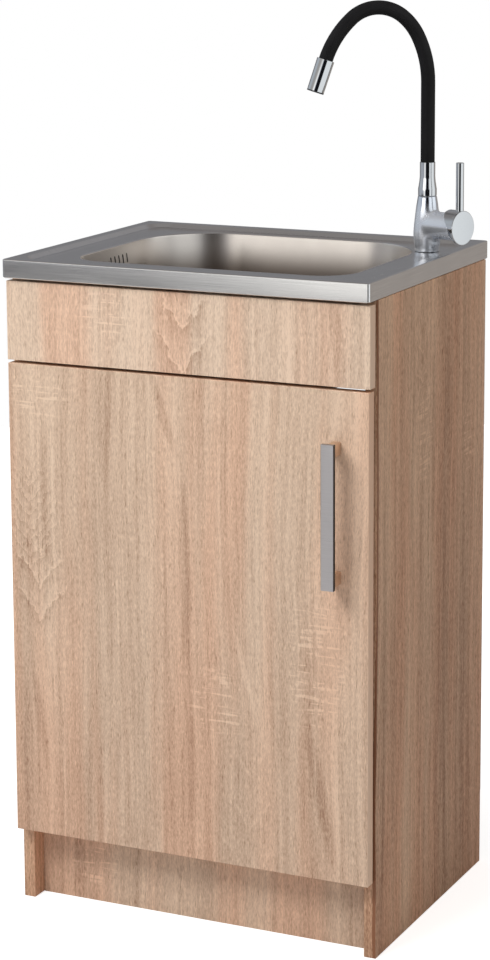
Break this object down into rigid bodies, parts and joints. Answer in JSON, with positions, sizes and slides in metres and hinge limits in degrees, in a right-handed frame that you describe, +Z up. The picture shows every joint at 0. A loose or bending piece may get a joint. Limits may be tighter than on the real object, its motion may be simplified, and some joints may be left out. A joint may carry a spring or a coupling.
{
  "type": "kitchen sink unit",
  "caption": "Floor-standing kitchen base cabinet with one hinged door, a pressed-steel lay-on sink, a waste with bottle trap and a side-lever mixer tap with a flexible spout.",
  "frame": {"origin": "centre of the object's footprint at floor level", "axes": "+X to the right seen from the front, +Y towards the wall, +Z up"},
  "size_m": [0.5136, 0.423, 1.1666],
  "materials": {
    "front_board": "laminated chipboard, light oak decor, fine matt grain",
    "side_board": "laminated chipboard, light oak decor, fine matt grain",
    "hardboard": "thin painted hardboard",
    "hardwood": "fluted beech dowel",
    "sheet_steel": "satin pressed stainless sheet",
    "polished_cup": "stamped stainless, semi-polished",
    "handle_steel": "satin bar with long grain",
    "tap_chrome": "polished chrome plate",
    "spout_rubber": "matt black silicone sleeve",
    "nozzle_insert": "dark spray insert",
    "zinc": "bright zinc plated steel",
    "nickel": "nickel plated pressed steel",
    "brass": "raw turned brass",
    "white_plastic": "moulded white polypropylene",
    "grey_plastic": "moulded grey plastic",
    "clear_bumper": "soft stick-on pad",
    "seal_rubber": "black seal rubber"
  },
  "bodies": {
    "cabinet": {"side_panel_left": "side_board", "side_panel_right": "side_board", "bottom_panel": "side_board", "plinth_board": "front_board", "front_rail": "side_board", "back_rail": "side_board", "back_panel": "hardboard", "back_panel_nails": "zinc", "cam_locks": "zinc", "cam_bolts": "zinc", "dowels": "hardwood", "sink_clips": "zinc", "sink_clip_screws": "zinc", "drawer_front": "front_board", "drawer_front_spacers": "grey_plastic", "drawer_front_screws": "zinc", "hinge_plate_lower": "nickel", "hinge_plate_upper": "nickel", "hinge_arm_lower": "nickel", "hinge_arm_upper": "nickel", "hinge_arm_screws": "zinc", "hinge_plate_screws": "zinc", "sink_top": "sheet_steel", "sink_bowl": "sheet_steel", "strainer_cup": "polished_cup", "waste_screw": "polished_cup", "waste_gasket": "seal_rubber", "waste_body": "white_plastic", "overflow_housing": "white_plastic", "overflow_pipe": "grey_plastic", "trap_nut": "grey_plastic", "trap_head": "white_plastic", "trap_cup": "white_plastic", "outlet_nut": "grey_plastic", "outlet_pipe": "white_plastic", "tap_body": "tap_chrome", "tap_base_ring": "seal_rubber", "tap_shank": "brass", "tap_washer": "zinc", "tap_nut": "brass", "cartridge": "white_plastic"},
    "door": {"door": "front_board", "handle": "handle_steel", "handle_screws": "zinc", "hinge_cup_lower": "nickel", "hinge_cup_upper": "nickel", "hinge_pin_lower": "zinc", "hinge_pin_upper": "zinc", "hinge_cup_screws": "zinc", "hinge_springs": "zinc", "door_bumpers": "clear_bumper"},
    "basket": {"strainer_basket": "polished_cup"},
    "spout": {"spout_ferrule": "tap_chrome", "spout_seal": "seal_rubber", "spout_hose": "spout_rubber", "spout_nozzle": "tap_chrome", "aerator": "nozzle_insert"},
    "carrier": {"lever_carrier": "white_plastic"},
    "lever": {"lever_cap": "tap_chrome", "lever_pin": "tap_chrome"}
  },
  "joints": [
    {"name": "door_hinge", "type": "hinge", "parent": "cabinet", "child": "door", "pos_m": [-0.24775, -0.1751, 0.408], "axis": [0, 0, -1], "range_deg": [0, 95]},
    {"name": "basket_lift", "type": "slide", "parent": "cabinet", "child": "basket", "axis": [0, 0, 1], "range_m": [0, 0.12]},
    {"name": "spout_swivel", "type": "hinge", "parent": "cabinet", "child": "spout", "pos_m": [0.19305, 0.1215, 0.917], "axis": [0, 0, 1], "continuous": true},
    {"name": "lever_turn", "type": "hinge", "parent": "cabinet", "child": "carrier", "pos_m": [0.24033, 0.10522, 0.88], "axis": [0.9455, -0.3256, 0], "range_deg": [-45, 45]},
    {"name": "lever_tilt", "type": "hinge", "parent": "carrier", "child": "lever", "pos_m": [0.24033, 0.10522, 0.88], "axis": [0.3256, 0.9455, 0], "range_deg": [0, 18]}
  ]
}
